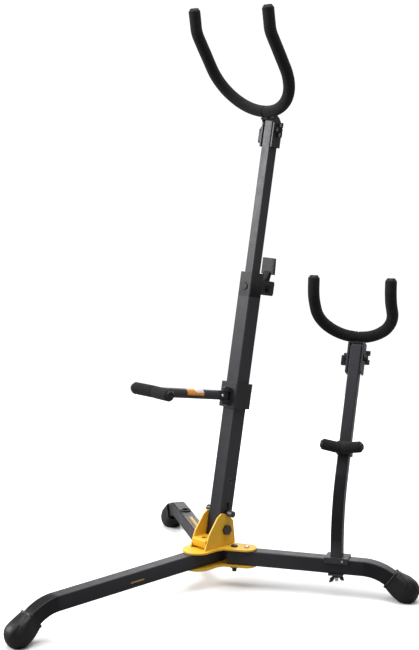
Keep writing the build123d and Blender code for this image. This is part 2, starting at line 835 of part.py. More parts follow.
def cradle_rod():
    """Shallow V rod of the cradle, with the stem that plugs into the arm tube."""
    stem_end = SECTION.from_local_coords(Vector(0, CRADLE_W + 32, ARM_S))
    centre = SECTION.from_local_coords(Vector(0, CRADLE_W, ARM_S))
    with BuildPart() as rod:
        for side in (-1, 1):
            add(drilled_bar(cradle_path(side), ROD_R, ROD_BORE, 12))
        add(stem_solid(centre, stem_end, 4.4))
    return rod


def cradle_foam():
    """Two foam sleeves that meet in the middle of the cradle."""
    behind = SECTION.from_local_coords(Vector(0, CRADLE_W + 20, ARM_S))
    centre = SECTION.from_local_coords(Vector(0, CRADLE_W, ARM_S))
    notch = stem_solid(centre, behind, 4.8)
    halves = []
    for side in (-1, 1):
        near = SECTION.from_local_coords(Vector(side * 30.15, CRADLE_W, ARM_S))
        with BuildPart() as half:
            add(ring_sweep(cradle_path(side), FOAM_R, FOAM_BORE, notch).part)
            with BuildSketch(Plane(origin=near, x_dir=ALONG, z_dir=(side, 0, 0)).offset(-60)):
                Rectangle(60, 60)
            extrude(amount=30, mode=Mode.SUBTRACT)
        halves.append(half.part)
    return halves


# ---- small stand ----

def alto_saddle():
    """Folded plate that sits over the leg under the small post."""
    top = LEG_Z + LEG_H / 2
    with BuildPart() as saddle:
        with BuildSketch(leg_side(AZ_RIGHT, -LEG_W / 2 - 3)):
            with Locations((ALTO_REACH + 1, (SADDLE_TOP + top - 7) / 2)):
                RectangleRounded(42, SADDLE_TOP - top + 7, 1.2)
        extrude(amount=LEG_W + 6)
        with BuildSketch(leg_side(AZ_RIGHT, -LEG_W / 2 - 0.2)):
            with Locations((ALTO_REACH + 1, top - 9.9)):
                Rectangle(60, 20)
        extrude(amount=LEG_W + 0.4, mode=Mode.SUBTRACT)
        with BuildSketch(level_at(ALTO_FOOT, SADDLE_TOP + 1)):
            Circle(3.2)
        extrude(amount=-8, mode=Mode.SUBTRACT)
    return saddle


def saddle_screw():
    """Small bright locating screw on the near flap of the saddle."""
    with BuildPart() as screw:
        with BuildSketch(shifted(leg_side(AZ_RIGHT), ALTO_REACH + 12, SADDLE_TOP - 5, LEG_W / 2 + 3)):
            Circle(2.2)
        extrude(amount=1.4, taper=15)
    return screw


def alto_strap():
    """Plate under the leg that the clamp bolt pulls up."""
    with BuildPart() as strap:
        bottom = LEG_Z - LEG_H / 2 - 0.1
        with BuildSketch(leg_side(AZ_RIGHT, -LEG_W / 2 - 2)):
            with Locations((ALTO_REACH, bottom - 1.5)):
                Rectangle(26, 3)
        extrude(amount=LEG_W + 4)
        with BuildSketch(level_at(ALTO_FOOT, bottom + 1)):
            Circle(3.2)
        extrude(amount=-6, mode=Mode.SUBTRACT)
    return strap


def alto_bolt():
    """Clamp bolt: its head sits inside the small post, its thread hangs below the strap."""
    with BuildPart() as bolt:
        with BuildSketch(level_at(ALTO_FOOT, SADDLE_TOP)):
            RegularPolygon(5.6, 6)
        extrude(amount=4)
        with BuildSketch(level_at(ALTO_FOOT, SADDLE_TOP)):
            Circle(3)
        extrude(amount=-46)
    return bolt


def alto_wing_nut():
    """Wing nut on the clamp bolt, its wings hanging down."""
    top = LEG_Z - LEG_H / 2 - 3.2
    with BuildPart() as nut:
        with BuildSketch(level_at(ALTO_FOOT, top)):
            Circle(6)
            Circle(3.1, mode=Mode.SUBTRACT)
        extrude(amount=-6)
        wing = leg_side(AZ_RIGHT + 35)
        wing_plane = Plane(origin=at(ALTO_FOOT.X, ALTO_FOOT.Y, top - 5), x_dir=wing.x_dir, z_dir=wing.z_dir)
        for tip in (-1, 1):
            with BuildSketch(wing_plane.offset(-1.8)):
                Polygon((tip * 3.4, 3), (tip * 12, -2), (tip * 14, -9), (tip * 8, -8), (tip * 3.4, -1), align=None)
            extrude(amount=3.6)
    return nut


def alto_post_path():
    """Centre line of the small post: upright, then bent back."""
    lean = radians(ALTO_LEAN)
    run = ALTO_BEND_R * tan(lean / 2)
    plane = Plane(origin=at(ALTO_FOOT.X, ALTO_FOOT.Y, 0), x_dir=POST_BACK, z_dir=POST_OUT)
    arc_top = (run * sin(lean), ALTO_CORNER_Z + run * cos(lean))
    arc_mid = (ALTO_BEND_R * (1 - cos(lean / 2)), ALTO_CORNER_Z - run + ALTO_BEND_R * sin(lean / 2))
    top = (ALTO_TOP_S * sin(lean), ALTO_CORNER_Z + ALTO_TOP_S * cos(lean))
    with BuildLine(plane) as path:
        Line((0, SADDLE_TOP), (0, ALTO_CORNER_Z - run))
        ThreePointArc((0, ALTO_CORNER_Z - run), arc_mid, arc_top)
        Line(arc_top, top)
    return path.line


def alto_post():
    """Small post: a bent square tube."""
    path = alto_post_path()
    with BuildPart() as post:
        with BuildSketch(Plane(origin=path @ 0, x_dir=POST_OUT, z_dir=path % 0)):
            RectangleRounded(INNER_W, INNER_W, 2)
            RectangleRounded(INNER_W - 2 * INNER_WALL, INNER_W - 2 * INNER_WALL, 1.4, mode=Mode.SUBTRACT)
        sweep(path=path)
        with BuildSketch(shifted(ALTO_SIDE, 0, ALTO_PIVOT_S, -INNER_W)):
            Circle(3.2)
        extrude(amount=2 * INNER_W, mode=Mode.SUBTRACT)
    return post


def rest_sleeve():
    """Sliding sleeve of the small rest."""
    with BuildPart() as sleeve:
        with BuildSketch(ALTO_SECTION.offset(REST_S - 11)):
            RectangleRounded(26, 26, 2.5)
            RectangleRounded(INNER_W + 0.6, INNER_W + 0.6, 2, mode=Mode.SUBTRACT)
        extrude(amount=22)
    return sleeve


def rest_point(x, forward, rise):
    """A point of the small rest, from the middle of its bar."""
    return ALTO_SECTION.from_local_coords(Vector(x, REST_W - forward, REST_S - 5 + rise))


def rest_path(side):
    """Half of the small rest's bar: level in the middle, its end swept forward and up."""
    with BuildLine() as path:
        Line(rest_point(0, 0, 0), rest_point(side * REST_HALF, 7, 4))
    return path.line


def rest_rod():
    """V rod of the small rest with the stem to its sleeve."""
    with BuildPart() as rod:
        for side in (-1, 1):
            add(drilled_bar(rest_path(side), 4, 2.5, 10))
        add(stem_solid(ALTO_SECTION.from_local_coords(Vector(0, -13, REST_S - 5)), rest_point(0, 0, 0), 3))
    return rod


def rest_foam():
    """Foam sleeves of the small rest."""
    notch = stem_solid(ALTO_SECTION.from_local_coords(Vector(0, -10, REST_S - 5)), rest_point(0, 0, 0), 3.4)
    halves = []
    for side in (-1, 1):
        near = rest_point(side * 30.15, 0, 0)
        with BuildPart() as half:
            add(ring_sweep(rest_path(side), REST_FOAM_R, 4.1, notch).part)
            with BuildSketch(Plane(origin=near, x_dir=ALTO_ALONG, z_dir=POST_OUT * side).offset(-60)):
                Rectangle(60, 60)
            extrude(amount=30, mode=Mode.SUBTRACT)
        halves.append(half.part)
    return halves


def rest_caps():
    """Domed plugs of the small rest."""
    with BuildPart() as caps:
        for side in (-1, 1):
            path = rest_path(side)
            tip = Plane(origin=path @ 1, z_dir=path % 1)
            with BuildSketch(tip):
                Circle(7.6)
            extrude(amount=3, taper=35)
            with BuildSketch(tip):
                Circle(2.4)
            extrude(amount=-8)
    return caps


def pair(solids):
    """Several separate solids of one kind kept in one piece."""
    with BuildPart() as group:
        for solid in solids:
            add(solid)
    return group


os.makedirs("parts", exist_ok=True)

save(hub_plate(UPPER_PLATE_Z, True), "upper_hub_plate")
save(hub_plate(LOWER_PLATE_Z, False), "lower_hub_plate")
save(hinge_bracket(), "hinge_bracket")
save(leg_tube(AZ_FRONT, FRONT_LEG_START, FRONT_BEND, [(22, 3.1, True), (-4, 3.1, True)]), "front_leg_tube")
save(leg_tube(AZ_RIGHT, LEG_START, SIDE_BEND,
              [(PIVOT_R, 4.2, True), (BUTTON_R, 4.6, False), (ALTO_REACH, 3.2, True)]), "right_leg_tube")
save(leg_tube(AZ_LEFT, LEG_START, SIDE_BEND,
              [(PIVOT_R, 4.2, True), (BUTTON_R, 4.6, False), (SOCKET_REACH, SOCKET_R + 2, False)]), "left_leg_tube")
save(boot(AZ_FRONT, FRONT_BEND), "front_leg_boot")
save(boot(AZ_RIGHT, SIDE_BEND), "right_leg_boot")
save(boot(AZ_LEFT, SIDE_BEND), "left_leg_boot")
save(peg_socket(), "peg_socket_grommet")
save(pivot_bolts(), "leg_pivot_bolts")
save(pivot_nuts(), "leg_pivot_nuts")
save(leg_rivets(), "front_leg_rivets")
save(leg_button(AZ_RIGHT), "right_leg_button")
save(leg_button(AZ_LEFT), "left_leg_button")
save(hinge_bolt(), "hinge_bolt")
save(hinge_nut(), "hinge_nut")
save(hinge_washers(), "hinge_washers")

save(lower_post(), "lower_post_tube")
save(spring_anchor(), "spring_anchor_pin")
save(lock_pin(), "lock_pin")
save(clamp_head(), "clamp_head")
save(head_button(), "clamp_head_button")
save(cam_lever(), "cam_lever")
save(lever_bolt(), "cam_lever_bolt")
save(inner_post(), "inner_post_tube")
save(inner_guide(), "inner_post_guide")
save(tube_cap(SECTION, INNER_TOP), "inner_post_cap")

main_plane = yoke_planes(SECTION, YOKE_S, MAIN_STEM_TURN, MAIN_TILT, MAIN_DROP)
main_paths = [half_yoke_path(main_plane, side, MAIN_HALF, MAIN_ARM, MAIN_TIP, MAIN_TIP_TURN) for side in (-1, 1)]
main_pivot = SECTION.from_local_coords(Vector(0, 0, YOKE_S))
main_notch = stem_solid(main_pivot, main_plane.origin, 5.4)
save(main_bracket(SIDE, SECTION, YOKE_S, main_plane.origin), "yoke_bracket")
save(bent_rod(main_paths, stem_solid(main_pivot, main_plane.origin, 5.02)), "yoke_rod")
save(ring_sweep(main_paths[0], FOAM_R, FOAM_BORE, main_notch), "yoke_foam_left")
save(ring_sweep(main_paths[1], FOAM_R, FOAM_BORE, main_notch), "yoke_foam_right")
save(tip_plugs(main_paths, 9), "yoke_tip_plugs")
save(lever_screw(shifted(SIDE, 0, YOKE_S), YOKE_EAR_OUT + 0.3, 22), "yoke_lever_screw")
save(wing_nut(shifted(SIDE, 0, YOKE_S), YOKE_EAR_OUT + 0.3, 1), "yoke_wing_nut")

save(arm_collar(), "arm_collar")
save(arm_pin(), "arm_pin")
save(arm_root(), "arm_root")
save(arm_button(), "arm_rivet")
save(arm_tube(), "arm_tube")
save(cradle_rod(), "cradle_rod")
save(pair(cradle_foam()), "cradle_foam")
save(tip_plugs([cradle_path(-1), cradle_path(1)], 9), "cradle_plugs")

save(alto_saddle(), "alto_saddle")
save(saddle_screw(), "alto_saddle_screw")
save(alto_strap(), "alto_clamp_strap")
save(alto_bolt(), "alto_clamp_bolt")
save(alto_wing_nut(), "alto_clamp_wing_nut")
save(alto_post(), "alto_post_tube")
save(tube_cap(ALTO_SECTION, ALTO_TOP_S), "alto_post_cap")
save(rest_sleeve(), "alto_rest_sleeve")
save(rest_rod(), "alto_rest_rod")
save(pair(rest_foam()), "alto_rest_foam")
save(rest_caps(), "alto_rest_plugs")

alto_plane = yoke_planes(ALTO_SECTION, ALTO_PIVOT_S, 0, ALTO_TILT, ALTO_DROP)
alto_paths = [half_yoke_path(alto_plane, side, ALTO_HALF, ALTO_ARM, ALTO_TIP, ALTO_TIP_TURN) for side in (-1, 1)]
alto_pivot = ALTO_SECTION.from_local_coords(Vector(0, 0, ALTO_PIVOT_S))
alto_notch = stem_solid(alto_pivot, alto_plane.origin, 5.4)
save(alto_bracket(ALTO_SIDE, ALTO_SECTION, ALTO_PIVOT_S, alto_plane.origin), "alto_yoke_bracket")
save(bent_rod(alto_paths, stem_solid(alto_pivot, alto_plane.origin, 5.02)), "alto_yoke_rod")
save(pair([ring_sweep(path, FOAM_R, FOAM_BORE, alto_notch).part for path in alto_paths]), "alto_yoke_foam")
save(tip_plugs(alto_paths, 9), "alto_yoke_plugs")
save(lever_screw(shifted(ALTO_SIDE, 0, ALTO_PIVOT_S), YOKE_EAR_OUT + 0.3, 14), "alto_lever_screw")
save(wing_nut(shifted(ALTO_SIDE, 0, ALTO_PIVOT_S), YOKE_EAR_OUT + 0.3, 1), "alto_wing_nut")
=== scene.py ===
import json
from math import cos, exp, pi, radians, sin, sqrt, tan

import bpy
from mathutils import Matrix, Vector, noise


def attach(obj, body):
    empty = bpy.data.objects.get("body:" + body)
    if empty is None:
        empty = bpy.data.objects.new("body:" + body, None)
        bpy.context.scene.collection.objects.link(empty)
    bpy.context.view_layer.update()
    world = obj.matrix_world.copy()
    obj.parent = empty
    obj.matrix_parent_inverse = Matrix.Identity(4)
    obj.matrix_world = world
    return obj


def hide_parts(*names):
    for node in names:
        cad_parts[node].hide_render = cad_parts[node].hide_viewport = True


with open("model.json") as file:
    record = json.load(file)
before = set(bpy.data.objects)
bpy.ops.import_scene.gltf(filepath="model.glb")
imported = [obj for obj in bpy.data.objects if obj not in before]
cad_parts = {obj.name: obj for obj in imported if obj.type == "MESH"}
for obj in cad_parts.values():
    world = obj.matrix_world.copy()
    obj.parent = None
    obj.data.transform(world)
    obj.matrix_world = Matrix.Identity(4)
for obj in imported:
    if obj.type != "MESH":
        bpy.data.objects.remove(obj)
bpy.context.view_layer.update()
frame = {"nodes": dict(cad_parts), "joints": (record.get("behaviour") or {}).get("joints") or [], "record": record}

# Sizes in metres. The main post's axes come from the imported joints.
JOINTS = {joint["name"]: joint for joint in frame["joints"]}
HINGE = Vector(JOINTS["post_fold"]["pos_m"])
ALONG = Vector(JOINTS["post_extend"]["axis"])
RIGHT = Vector((1, 0, 0))
BACK = ALONG.cross(RIGHT)
HUB = Vector((0, HINGE.y - 0.0125, 0))

ALTO_PIVOT = Vector(JOINTS["alto_yoke_tilt"]["pos_m"])
ALTO_RIGHT = Vector(JOINTS["alto_yoke_tilt"]["axis"])
ALTO_ALONG = Vector(JOINTS["alto_rest_slide"]["axis"])
ALTO_BACK = ALTO_ALONG.cross(ALTO_RIGHT)
YOKE_PIVOT = Vector(JOINTS["yoke_tilt"]["pos_m"])

FOAM_R = 0.0105
TIP_BEND_R = 0.045
MAIN_YOKE = {"half": 0.0893, "arm": 0.15, "tip": 0.04, "tilt": 42, "stem": 35, "turn": 23, "drop": 0.036}
ALTO_YOKE = {"half": 0.069, "arm": 0.084, "tip": 0.0335, "tilt": 65, "stem": 0, "turn": 43, "drop": 0.038}
REST_FOAM_R = 0.01
ALTO_PIVOT_S = 0.2762

LEG_Z = 0.0545
LEG_W = 0.025
LEG_H = 0.0265
LEG_TOP = LEG_Z + LEG_H / 2
BEND_R = 0.083
BEND_ANGLE = radians(37)
BOOT_START = -0.003
BOOT_W = 0.033
BOOT_H = 0.034
TOE_R = 0.0225
TOE_RUN = 0.032
RIGHT_AZIMUTH = 30
LEFT_AZIMUTH = 150
LEGS = {"front_leg": (-90, 0.3575, "base"), "right_leg": (RIGHT_AZIMUTH, 0.272, "right_leg"),
        "left_leg": (LEFT_AZIMUTH, 0.272, "left_leg")}

ARM_S = 0.239
ARM_R = 0.0085


# ---- node materials ----

class Nodes:
    """Short way to build a node material around one Principled shader."""

    def __init__(self, name, rough, metal=0.0, coat=0.0, specular=0.5):
        self.material = bpy.data.materials.new(name)
        self.material.use_nodes = True
        self.tree = self.material.node_tree
        self.shader = self.tree.nodes["Principled BSDF"]
        self.shader.inputs["Roughness"].default_value = rough
        self.shader.inputs["Metallic"].default_value = metal
        self.shader.inputs["Coat Weight"].default_value = coat
        self.shader.inputs["Specular IOR Level"].default_value = specular
        self.coords = self.node("ShaderNodeTexCoord").outputs["Object"]

    def node(self, kind, **values):
        made = self.tree.nodes.new(kind)
        for key, value in values.items():
            setattr(made, key, value)
        return made

    def link(self, source, target):
        self.tree.links.new(source, target)

    def noise(self, scale, detail=3.0, rough=0.5, stretch=None):
        """Noise of the object's own coordinates; stretch squeezes it along an axis."""
        made = self.node("ShaderNodeTexNoise")
        made.inputs["Scale"].default_value = scale
        made.inputs["Detail"].default_value = detail
        made.inputs["Roughness"].default_value = rough
        source = self.coords
        if stretch:
            mapping = self.node("ShaderNodeMapping")
            mapping.inputs["Scale"].default_value = stretch
            self.link(source, mapping.inputs["Vector"])
            source = mapping.outputs["Vector"]
        self.link(source, made.inputs["Vector"])
        return made.outputs["Fac"]

    def cells(self, scale):
        made = self.node("ShaderNodeTexVoronoi")
        made.inputs["Scale"].default_value = scale
        self.link(self.coords, made.inputs["Vector"])
        return made.outputs["Distance"]

    def ramp(self, source, *stops):
        """Colour ramp from (position, colour or grey) stops."""
        made = self.node("ShaderNodeValToRGB")
        band = made.color_ramp
        while len(band.elements) < len(stops):
            band.elements.new(0.5)
        for element, (place, colour) in zip(band.elements, stops):
            element.position = place
            if isinstance(colour, float):
                colour = (colour, colour, colour)
            element.color = (*colour, 1)
        self.link(source, made.inputs["Fac"])
        return made.outputs["Color"]

    def mix(self, factor, a, b):
        made = self.node("ShaderNodeMix", data_type="RGBA")
        self.link(factor, made.inputs[0])
        for source, target in ((a, made.inputs[6]), (b, made.inputs[7])):
            if isinstance(source, tuple):
                target.default_value = (*source, 1)
            else:
                self.link(source, target)
        return made.outputs[2]

    def bump(self, height, strength, distance, under=None):
        made = self.node("ShaderNodeBump")
        made.inputs["Strength"].default_value = strength
        made.inputs["Distance"].default_value = distance
        self.link(height, made.inputs["Height"])
        if under is not None:
            self.link(under, made.inputs["Normal"])
        return made.outputs["Normal"]

    def soft_edges(self, radius):
        made = self.node("ShaderNodeBevel", samples=4)
        made.inputs["Radius"].default_value = radius
        return made.outputs["Normal"]

    def edges(self):
        """Lighter-colour factor from pointiness: 1 on convex edges, and also on flat CAD faces; on the edges it
        paints rubbed paint and a painted highlight.

        Pointiness is stored at a mesh's corners, and a flat face here has corners on its edges alone.
        """
        return self.ramp(self.node("ShaderNodeNewGeometry").outputs["Pointiness"], (0.53, 0.0), (0.6, 1.0))

    def set(self, socket, source):
        self.link(source, self.shader.inputs[socket])


def powder_coat():
    """Satin black powder coat with a fine orange peel; mottling shows only where the edge factor is low, and the
    lighter edge colour is partly rubbed paint, partly a painted highlight.
    """
    m = Nodes("powder_coat_black", 0.36, specular=0.22)
    body = m.ramp(m.noise(38, 5), (0.35, (0.0062, 0.006, 0.0076)), (0.7, (0.0095, 0.0092, 0.0115)))
    fleck = m.ramp(m.noise(1500, 2), (0.62, 0.0), (0.74, 0.4))
    body = m.mix(fleck, body, (0.018, 0.0175, 0.021))
    # Lighter colour on convex edges: partly rubbed paint, partly a painted highlight.
    m.set("Base Color", m.mix(m.edges(), body, (0.04, 0.039, 0.045)))
    m.set("Roughness", m.ramp(m.noise(60, 4), (0.3, 0.3), (0.75, 0.42)))
    m.set("Normal", m.bump(m.noise(1100, 2), 0.22, 0.0004, m.soft_edges(0.0006)))
    return m.material


def yellow_paint():
    """Smooth yellow coat; its deeper patches show only where the edge factor is low, and the paler edge colour is
    partly rubbed paint, partly a painted highlight.
    """
    m = Nodes("yellow_paint", 0.42, coat=0.03, specular=0.2)
    body = m.ramp(m.noise(24, 4), (0.3, (0.66, 0.315, 0.004)), (0.7, (0.74, 0.378, 0.006)))
    grime = m.ramp(m.noise(85, 6, 0.65), (0.6, 0.0), (0.8, 0.28))
    body = m.mix(grime, body, (0.5, 0.23, 0.006))
    # Paler yellow on convex edges: partly rubbed paint, partly a painted highlight.
    m.set("Base Color", m.mix(m.edges(), body, (0.82, 0.48, 0.045)))
    m.set("Roughness", m.ramp(m.noise(140, 4), (0.3, 0.3), (0.75, 0.44)))
    m.set("Normal", m.bump(m.noise(800, 2), 0.16, 0.0004, m.soft_edges(0.0005)))
    return m.material


def foam():
    """Closed-cell foam skin: near black, matt, with fine open pores and a dusty bloom."""
    m = Nodes("black_foam", 0.9, specular=0.12)
    m.shader.inputs["Sheen Weight"].default_value = 0.06
    m.shader.inputs["Sheen Roughness"].default_value = 0.6
    pores = m.cells(1100)
    body = m.ramp(m.noise(120, 5, 0.6), (0.35, (0.0078, 0.0071, 0.0073)), (0.75, (0.0135, 0.0124, 0.0127)))
    speck = m.ramp(m.noise(2100, 2), (0.6, 0.0), (0.72, 0.6))
    m.set("Base Color", m.mix(speck, body, (0.029, 0.0268, 0.027)))
    m.set("Roughness", m.ramp(m.noise(200, 3), (0.3, 0.84), (0.8, 0.97)))
    m.set("Normal", m.bump(pores, 0.5, 0.0005, m.bump(m.noise(420, 4), 0.35, 0.0007)))
    return m.material


def rubber():
    """Dark grey moulded rubber with a fine grain and scuffs."""
    m = Nodes("boot_rubber", 0.42, specular=0.3)
    body = m.ramp(m.noise(90, 5, 0.6), (0.35, (0.0075, 0.0068, 0.0078)), (0.75, (0.012, 0.011, 0.0125)))
    scuff = m.ramp(m.noise(240, 5, 0.7, (1, 1, 5)), (0.64, 0.0), (0.78, 0.35))
    m.set("Base Color", m.mix(scuff, body, (0.028, 0.026, 0.027)))
    m.set("Roughness", m.ramp(m.noise(160, 4), (0.3, 0.36), (0.8, 0.54)))
    m.set("Normal", m.bump(m.noise(1500, 2), 0.3, 0.0004))
    return m.material


def plastic():
    """Black moulded plastic with a fine spark-eroded texture."""
    m = Nodes("moulded_plastic", 0.42, specular=0.22)
    body = m.ramp(m.noise(70, 4), (0.35, (0.006, 0.0058, 0.0066)), (0.75, (0.0095, 0.0092, 0.0104)))
    # Lighter colour on convex edges: partly rubbed plastic, partly a painted highlight.
    m.set("Base Color", m.mix(m.edges(), body, (0.03, 0.03, 0.033)))
    m.set("Roughness", m.ramp(m.noise(260, 4), (0.3, 0.34), (0.8, 0.5)))
    m.set("Normal", m.bump(m.noise(1900, 2), 0.25, 0.0003, m.soft_edges(0.0006)))
    return m.material


def gloss_plastic():
    """Smooth satin black plastic of the end plugs."""
    m = Nodes("plug_plastic", 0.42, specular=0.2)
    m.set("Base Color", m.ramp(m.noise(120, 3), (0.35, (0.011, 0.011, 0.012)), (0.75, (0.02, 0.02, 0.022))))
    m.set("Roughness", m.ramp(m.noise(300, 4), (0.3, 0.36), (0.8, 0.5)))
    m.set("Normal", m.bump(m.noise(260, 2), 0.08, 0.0004))
    return m.material


def zinc():
    """Zinc-plated steel with a cloudy plating and drawn lines."""
    m = Nodes("zinc_plated_steel", 0.3, metal=1.0)
    body = m.ramp(m.noise(180, 5), (0.3, (0.52, 0.52, 0.51)), (0.75, (0.72, 0.72, 0.72)))
    m.set("Base Color", body)
    m.set("Roughness", m.ramp(m.noise(420, 4), (0.3, 0.2), (0.8, 0.4)))
    m.set("Normal", m.bump(m.noise(900, 2, 0.5, (1, 1, 6)), 0.12, 0.0003, m.soft_edges(0.0003)))
    return m.material


def black_steel():
    """Blackened steel fasteners: darker, oily, and lighter at the edges, partly a little worn metal, partly a
    painted highlight.
    """
    m = Nodes("black_oxide_steel", 0.4, metal=0.1, specular=0.3)
    body = m.ramp(m.noise(150, 5), (0.35, (0.007, 0.007, 0.0075)), (0.75, (0.013, 0.013, 0.014)))
    # Lighter colour on convex edges: partly worn metal, partly a painted highlight.
    m.set("Base Color", m.mix(m.edges(), body, (0.06, 0.06, 0.063)))
    m.set("Roughness", m.ramp(m.noise(350, 4), (0.3, 0.26), (0.8, 0.44)))
    m.set("Normal", m.bump(m.noise(1200, 2), 0.15, 0.0003, m.soft_edges(0.0004)))
    return m.material


def printed_film(name, colour, worn):
    """Thin printed film with a worn, slightly uneven ink."""
    m = Nodes(name, 0.3, coat=0.4)
    ink = m.ramp(m.noise(420, 5, 0.7), (0.36, 0.0), (0.58, 1.0))
    m.set("Base Color", m.mix(ink, worn, colour))
    m.set("Roughness", m.ramp(m.noise(300, 4), (0.3, 0.24), (0.8, 0.4)))
    m.set("Normal", m.bump(m.noise(700, 2), 0.06, 0.0002))
    return m.material


def floor_paint():
    """Pale floor that is seen white but throws less light back than it would, like a floor much larger."""
    m = Nodes("studio_floor", 0.6, specular=0.0)
    seen = m.ramp(m.noise(1.5, 3), (0.3, (0.93, 0.93, 0.93)), (0.7, (0.95, 0.95, 0.95)))
    camera_ray = m.node("ShaderNodeLightPath").outputs["Is Camera Ray"]
    m.set("Base Color", m.mix(camera_ray, (0.28, 0.28, 0.28), seen))
    return m.material


POWDER = powder_coat()
YELLOW = yellow_paint()
FOAM = foam()
RUBBER = rubber()
PLASTIC = plastic()
PLUG = gloss_plastic()
ZINC = zinc()
BLACK_STEEL = black_steel()

SLOT_MATERIALS = {
    "black_powder_coat": POWDER, "yellow_paint": YELLOW, "black_foam": FOAM, "boot_rubber": RUBBER,
    "black_plastic": PLASTIC, "zinc_steel": ZINC, "black_steel": BLACK_STEEL,
}
PLUG_NODES = ("yoke_tip_plugs", "alto_yoke_plugs", "cradle_plugs", "alto_rest_plugs")


def dress_frame():
    """Gives every CAD node the detailed material of its record slot, and the end plugs their satin plastic."""
    slots = {row["node"]: row["material_slot"] for row in frame["record"]["subparts"]}
    for name, node in frame["nodes"].items():
        material = PLUG if name in PLUG_NODES else SLOT_MATERIALS[slots[name]]
        node.data.materials.clear()
        node.data.materials.append(material)
        for face in node.data.polygons:
            face.material_index = 0


dress_frame()


# ---- mesh helpers ----

def mesh_piece(name, points, faces, material, body, replaced=()):
    """A smooth-shaded mesh that rides on a body."""
    data = bpy.data.meshes.new(name)
    data.from_pydata([tuple(p) for p in points], [], faces)
    data.update()
    data.materials.append(material)
    for face in data.polygons:
        face.use_smooth = True
    piece = bpy.data.objects.new(name, data)
    bpy.context.scene.collection.objects.link(piece)
    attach(piece, body)
    if replaced:
        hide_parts(*replaced)
    return piece


def ring_faces(rings, around, first=0):
    """Quads between neighbouring rings of points."""
    faces = []
    for r in range(rings - 1):
        for k in range(around):
            a = first + r * around + k
            b = first + r * around + (k + 1) % around
            faces.append((a, b, b + around, a + around))
    return faces


def resampled(path, step):
    """The path's points moved to even steps, its ends kept."""
    lengths = [0.0]
    for a, b in zip(path, path[1:]):
        lengths.append(lengths[-1] + (b - a).length)
    count = max(2, round(lengths[-1] / step))
    points = []
    i = 0
    for k in range(count + 1):
        reach = lengths[-1] * k / count
        while i < len(path) - 2 and lengths[i + 1] < reach:
            i += 1
        share = (reach - lengths[i]) / (lengths[i + 1] - lengths[i])
        points.append(path[i].lerp(path[i + 1], share))
    return points


# ---- foam sleeves ----

FOAM_STEP = 0.0018
FOAM_AROUND = 40
END_ROUND = 0.0022


def foam_sleeve(name, path, radius, body, replaced=(), seed=0.0):
    """A foam sleeve pushed over a bent tube: even skin, tucked ends, small folds inside its bends."""
    path = resampled(path, FOAM_STEP)
    total = FOAM_STEP * (len(path) - 1)
    points = []
    side = None
    for i, centre in enumerate(path):
        before = path[max(i - 1, 0)]
        after = path[min(i + 1, len(path) - 1)]
        way = (after - before).normalized()
        if side is None:
            side = way.orthogonal().normalized()
        side = (side - way * side.dot(way)).normalized()
        up = way.cross(side)
        a, b = path[max(i - 5, 0)], path[min(i + 5, len(path) - 1)]
        bend = a + b - 2 * centre
        reach = FOAM_STEP * i
        edge = min(reach, total - reach)
        tuck = 1.0
        if edge < END_ROUND:
            tuck = 0.86 + 0.14 * sqrt(1 - (1 - edge / END_ROUND) ** 2)
        for k in range(FOAM_AROUND):
            turn = 2 * pi * k / FOAM_AROUND
            out = side * cos(turn) + up * sin(turn)
            inside = max(0.0, out.dot(bend)) / (FOAM_STEP * 1.2)
            crease = 0.00022 * inside * (0.5 + 0.5 * sin(2 * pi * reach / 0.0072 + seed))
            swell = 0.00022 * noise.noise(centre * 55 + Vector((seed, seed, turn * 0.4)))
            points.append(centre + out * ((radius - 0.0001 + swell - crease) * tuck))
    around = FOAM_AROUND
    faces = ring_faces(len(path), around)
    for end, way_sign in ((0, 1), (len(path) - 1, -1)):
        ring = [end * around + k for k in range(around)]
        centre = path[end]
        inner = len(points)
        neighbour = path[1] if end == 0 else path[-2]
        inward = (neighbour - centre).normalized() * 0.0015
        for k in ring:
            points.append(centre + (points[k] - centre) * 0.66)
        deep = len(points)
        for k in range(around):
            points.append(points[inner + k] + inward)
        hub_point = len(points)
        points.append(centre + inward)
        for k in range(around):
            n = (k + 1) % around
            quads = [(ring[k], inner + k, inner + n, ring[n]), (inner + k, deep + k, deep + n, inner + n),
                     (deep + k, hub_point, deep + n)]
            faces += [q if way_sign > 0 else tuple(reversed(q)) for q in quads]
    return mesh_piece(name, points, faces, FOAM, body, replaced)


def yoke_half(pivot, along, back, right, sizes, side):
    """Centre line of half of a yoke, from the bottom of its U to the tip, in the row frame."""
    stem, tilt = radians(sizes["stem"]), radians(sizes["tilt"])
    bottom = pivot + (along * cos(stem) - back * sin(stem)) * sizes["drop"]
    up = along * cos(tilt) - back * sin(tilt)
    normal = right.cross(up)
    across = right * side
    half = sizes["half"]
    path = [bottom]
    for k in range(1, 25):
        turn = pi / 2 * k / 24
        path.append(bottom + across * (half * sin(turn)) + up * (half * (1 - cos(turn))))
    corner = bottom + across * half
    path.append(corner + up * sizes["arm"])
    lean = radians(sizes["turn"])
    for k in range(1, 11):
        turn = lean * k / 10
        rise = up * (sizes["arm"] + TIP_BEND_R * sin(turn))
        path.append(corner + rise - normal * (TIP_BEND_R * (1 - cos(turn))))
    run = sizes["tip"] - TIP_BEND_R * tan(lean / 2)
    path.append(path[-1] + (up * cos(lean) - normal * sin(lean)) * run)
    return path


